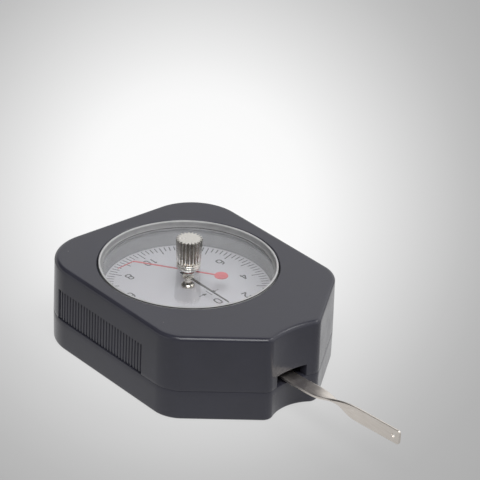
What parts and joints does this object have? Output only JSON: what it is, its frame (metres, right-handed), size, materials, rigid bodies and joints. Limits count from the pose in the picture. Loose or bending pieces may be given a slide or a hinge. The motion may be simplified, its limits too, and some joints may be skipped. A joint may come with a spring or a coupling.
{
  "type": "dial tension gauge",
  "caption": "Hand-held dial tension gauge in a dark plastic case: a twisted steel stylus swings sideways, gears turn a pointer, and a fluted knob turns a red drag pointer back.",
  "frame": {"origin": "on the flat back face, under the axis of the dial", "axes": "+Z from the back towards the dial and the knob, +X from the dial towards the stylus's tip, Y across the case"},
  "size_m": [0.1179, 0.0604, 0.0328],
  "materials": {
    "case_plastic": "fine satin grain",
    "back_plastic": "fine satin grain",
    "clear_lens": "polished and clear",
    "seal_rubber": "matt",
    "dial_paint": "fine satin with printed black scale",
    "nickel": "satin nickel plate",
    "steel": "turned",
    "stylus_steel": "rolled, lightly brushed along its length",
    "spring_steel": "blued",
    "brass": "turned",
    "black_paint": "satin",
    "red_paint": "satin"
  },
  "bodies": {
    "case": {"top_shell": "case_plastic", "back_cover": "back_plastic", "case_screw_1": "steel", "case_screw_2": "steel", "case_screw_3": "steel", "case_screw_4": "steel", "lens": "clear_lens", "lens_seal": "seal_rubber", "dial_plate": "dial_paint", "dial_boss": "nickel", "dial_foot_1": "brass", "dial_foot_2": "brass", "dial_foot_3": "brass", "lower_plate": "brass", "upper_plate": "brass", "pillar_1": "brass", "pillar_2": "brass", "pillar_3": "brass", "pillar_4": "brass", "pillar_screw_1": "steel", "pillar_screw_2": "steel", "pillar_screw_3": "steel", "pillar_screw_4": "steel", "arbor_bush_lower": "brass", "arbor_bush_upper": "brass", "lever_bush_lower": "brass", "lever_bush_upper": "brass", "stop_pin_1": "steel", "stop_pin_2": "steel", "range_spring": "spring_steel", "spring_stud": "steel", "hairspring": "spring_steel", "hairspring_stud": "brass", "stem_bush": "brass"},
    "lever": {"lever_shaft": "steel", "lever_hub": "brass", "sector_gear": "brass", "stylus": "stylus_steel", "stylus_screw_1": "steel", "stylus_screw_2": "steel"},
    "pointer": {"pointer_arbor": "steel", "pinion": "steel", "hairspring_collet": "brass", "pointer_hub": "nickel", "force_pointer": "black_paint"},
    "reset": {"max_pointer": "red_paint", "reset_stem": "nickel", "stem_clip": "steel", "reset_knob": "nickel"}
  },
  "joints": [
    {"name": "lever_swing", "type": "hinge", "parent": "case", "child": "lever", "pos_m": [0.03, 0, 0.0109], "axis": [0, 0, 1], "range_deg": [-10, 10], "stiffness_Nm_per_rad": 0.03},
    {"name": "pointer_turn", "type": "hinge", "parent": "case", "child": "pointer", "pos_m": [0, 0, 0.0109], "axis": [0, 0, 1], "range_deg": [-180, 180]},
    {"name": "reset_turn", "type": "hinge", "parent": "case", "child": "reset", "pos_m": [0, 0, 0.0285], "axis": [0, 0, 1], "continuous": true}
  ],
  "couplings": [
    {"joint": "pointer_turn", "follows": "lever_swing", "ratio": -18}
  ]
}
